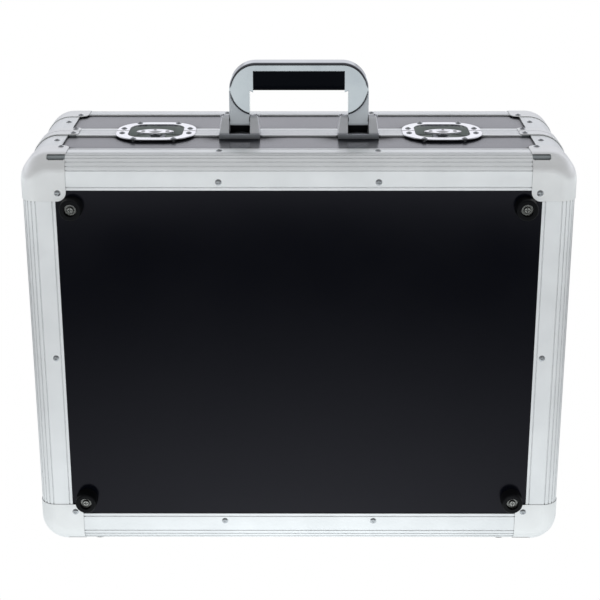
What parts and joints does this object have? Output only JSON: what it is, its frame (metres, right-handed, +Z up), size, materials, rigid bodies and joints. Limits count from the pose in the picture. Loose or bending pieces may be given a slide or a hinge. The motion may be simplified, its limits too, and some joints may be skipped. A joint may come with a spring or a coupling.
{
  "type": "mixer flight case",
  "caption": "Upright flight case in black laminate with ridged aluminium edges, corner caps, carrying handle, recessed butterfly latches and a hinged lid.",
  "frame": {"origin": "bottom centre of the box round the whole case, on the plane of the four stand feet", "axes": "+X to the right along the case's width, +Y from the base face with its rubber feet to the lid face, +Z up to the carrying handle"},
  "size_m": [0.5306, 0.2204, 0.4846],
  "materials": {
    "black_laminate": "semi-gloss laminate",
    "foam": "matt foam",
    "aluminium_profile": "satin anodised",
    "plated_steel": "bright zinc plate",
    "black_rubber": "matt",
    "black_plastic": "satin",
    "chrome": "polished"
  },
  "bodies": {
    "base": {"base_closing_corners": "aluminium_profile", "base_closing_profiles": "aluminium_profile", "base_corner_caps": "plated_steel", "base_corner_mouldings": "aluminium_profile", "base_feet": "black_rubber", "base_floor_foam": "foam", "base_frame_bottom": "aluminium_profile", "base_frame_left": "aluminium_profile", "base_frame_right": "aluminium_profile", "base_frame_top": "aluminium_profile", "base_panel": "black_laminate", "base_rivets": "plated_steel", "base_stand_feet": "black_rubber", "base_wall_bottom": "black_laminate", "base_wall_foam": "foam", "base_wall_left": "black_laminate", "base_wall_right": "black_laminate", "base_wall_top": "black_laminate", "foot_screws": "plated_steel", "foot_washers": "plated_steel", "handle_bracket_left": "chrome", "handle_bracket_right": "chrome", "handle_bracket_screws": "chrome", "handle_pins": "plated_steel", "hinge_base_leaves": "plated_steel", "hinge_pins": "plated_steel", "latch_left_base_dish": "plated_steel", "latch_right_base_dish": "plated_steel"},
    "lid": {"hinge_lid_leaves": "plated_steel", "latch_left_lid_dish": "plated_steel", "latch_right_lid_dish": "plated_steel", "lid_closing_corners": "aluminium_profile", "lid_closing_profiles": "aluminium_profile", "lid_corner_caps": "plated_steel", "lid_corner_mouldings": "aluminium_profile", "lid_floor_foam": "foam", "lid_frame_bottom": "aluminium_profile", "lid_frame_left": "aluminium_profile", "lid_frame_right": "aluminium_profile", "lid_frame_top": "aluminium_profile", "lid_panel": "black_laminate", "lid_rivets": "plated_steel", "lid_stand_feet": "black_rubber", "lid_wall_bottom": "black_laminate", "lid_wall_foam": "foam", "lid_wall_left": "black_laminate", "lid_wall_right": "black_laminate", "lid_wall_top": "black_laminate"},
    "handle": {"handle_shell": "chrome", "handle_arm_left": "chrome", "handle_arm_right": "chrome", "handle_grip": "black_plastic"},
    "latch_left_rotor": {"latch_left_rotor": "plated_steel", "latch_left_wing_pin": "plated_steel"},
    "latch_left_wing": {"latch_left_wing": "plated_steel"},
    "latch_left_hook": {"latch_left_hook": "plated_steel"},
    "latch_right_rotor": {"latch_right_rotor": "plated_steel", "latch_right_wing_pin": "plated_steel"},
    "latch_right_wing": {"latch_right_wing": "plated_steel"},
    "latch_right_hook": {"latch_right_hook": "plated_steel"}
  },
  "joints": [
    {"name": "lid_hinge", "type": "hinge", "parent": "base", "child": "lid", "pos_m": [0, -0.00015, 0.00395], "axis": [-1, 0, 0], "range_deg": [0, 100]},
    {"name": "handle_fold", "type": "hinge", "parent": "base", "child": "handle", "pos_m": [0, -0.01035, 0.4246], "axis": [1, 0, 0], "range_deg": [0, 80]},
    {"name": "latch_left_turn", "type": "hinge", "parent": "base", "child": "latch_left_rotor", "pos_m": [-0.142, -0.01115, 0.4066], "axis": [0, 0, 1], "range_deg": [0, 180]},
    {"name": "latch_left_flip", "type": "hinge", "parent": "latch_left_rotor", "child": "latch_left_wing", "pos_m": [-0.142, -0.00515, 0.4116], "axis": [-1, 0, 0], "range_deg": [0, 90]},
    {"name": "latch_left_draw", "type": "slide", "parent": "base", "child": "latch_left_hook", "axis": [0, 1, 0], "range_m": [0, 0.005]},
    {"name": "latch_right_turn", "type": "hinge", "parent": "base", "child": "latch_right_rotor", "pos_m": [0.142, -0.01115, 0.4066], "axis": [0, 0, 1], "range_deg": [0, 180]},
    {"name": "latch_right_flip", "type": "hinge", "parent": "latch_right_rotor", "child": "latch_right_wing", "pos_m": [0.142, -0.00515, 0.4116], "axis": [-1, 0, 0], "range_deg": [0, 90]},
    {"name": "latch_right_draw", "type": "slide", "parent": "base", "child": "latch_right_hook", "axis": [0, 1, 0], "range_m": [0, 0.005]}
  ],
  "couplings": [
    {"joint": "latch_left_draw", "follows": "latch_left_turn", "m_per_rad": 0.0015915},
    {"joint": "latch_right_draw", "follows": "latch_right_turn", "m_per_rad": 0.0015915}
  ]
}
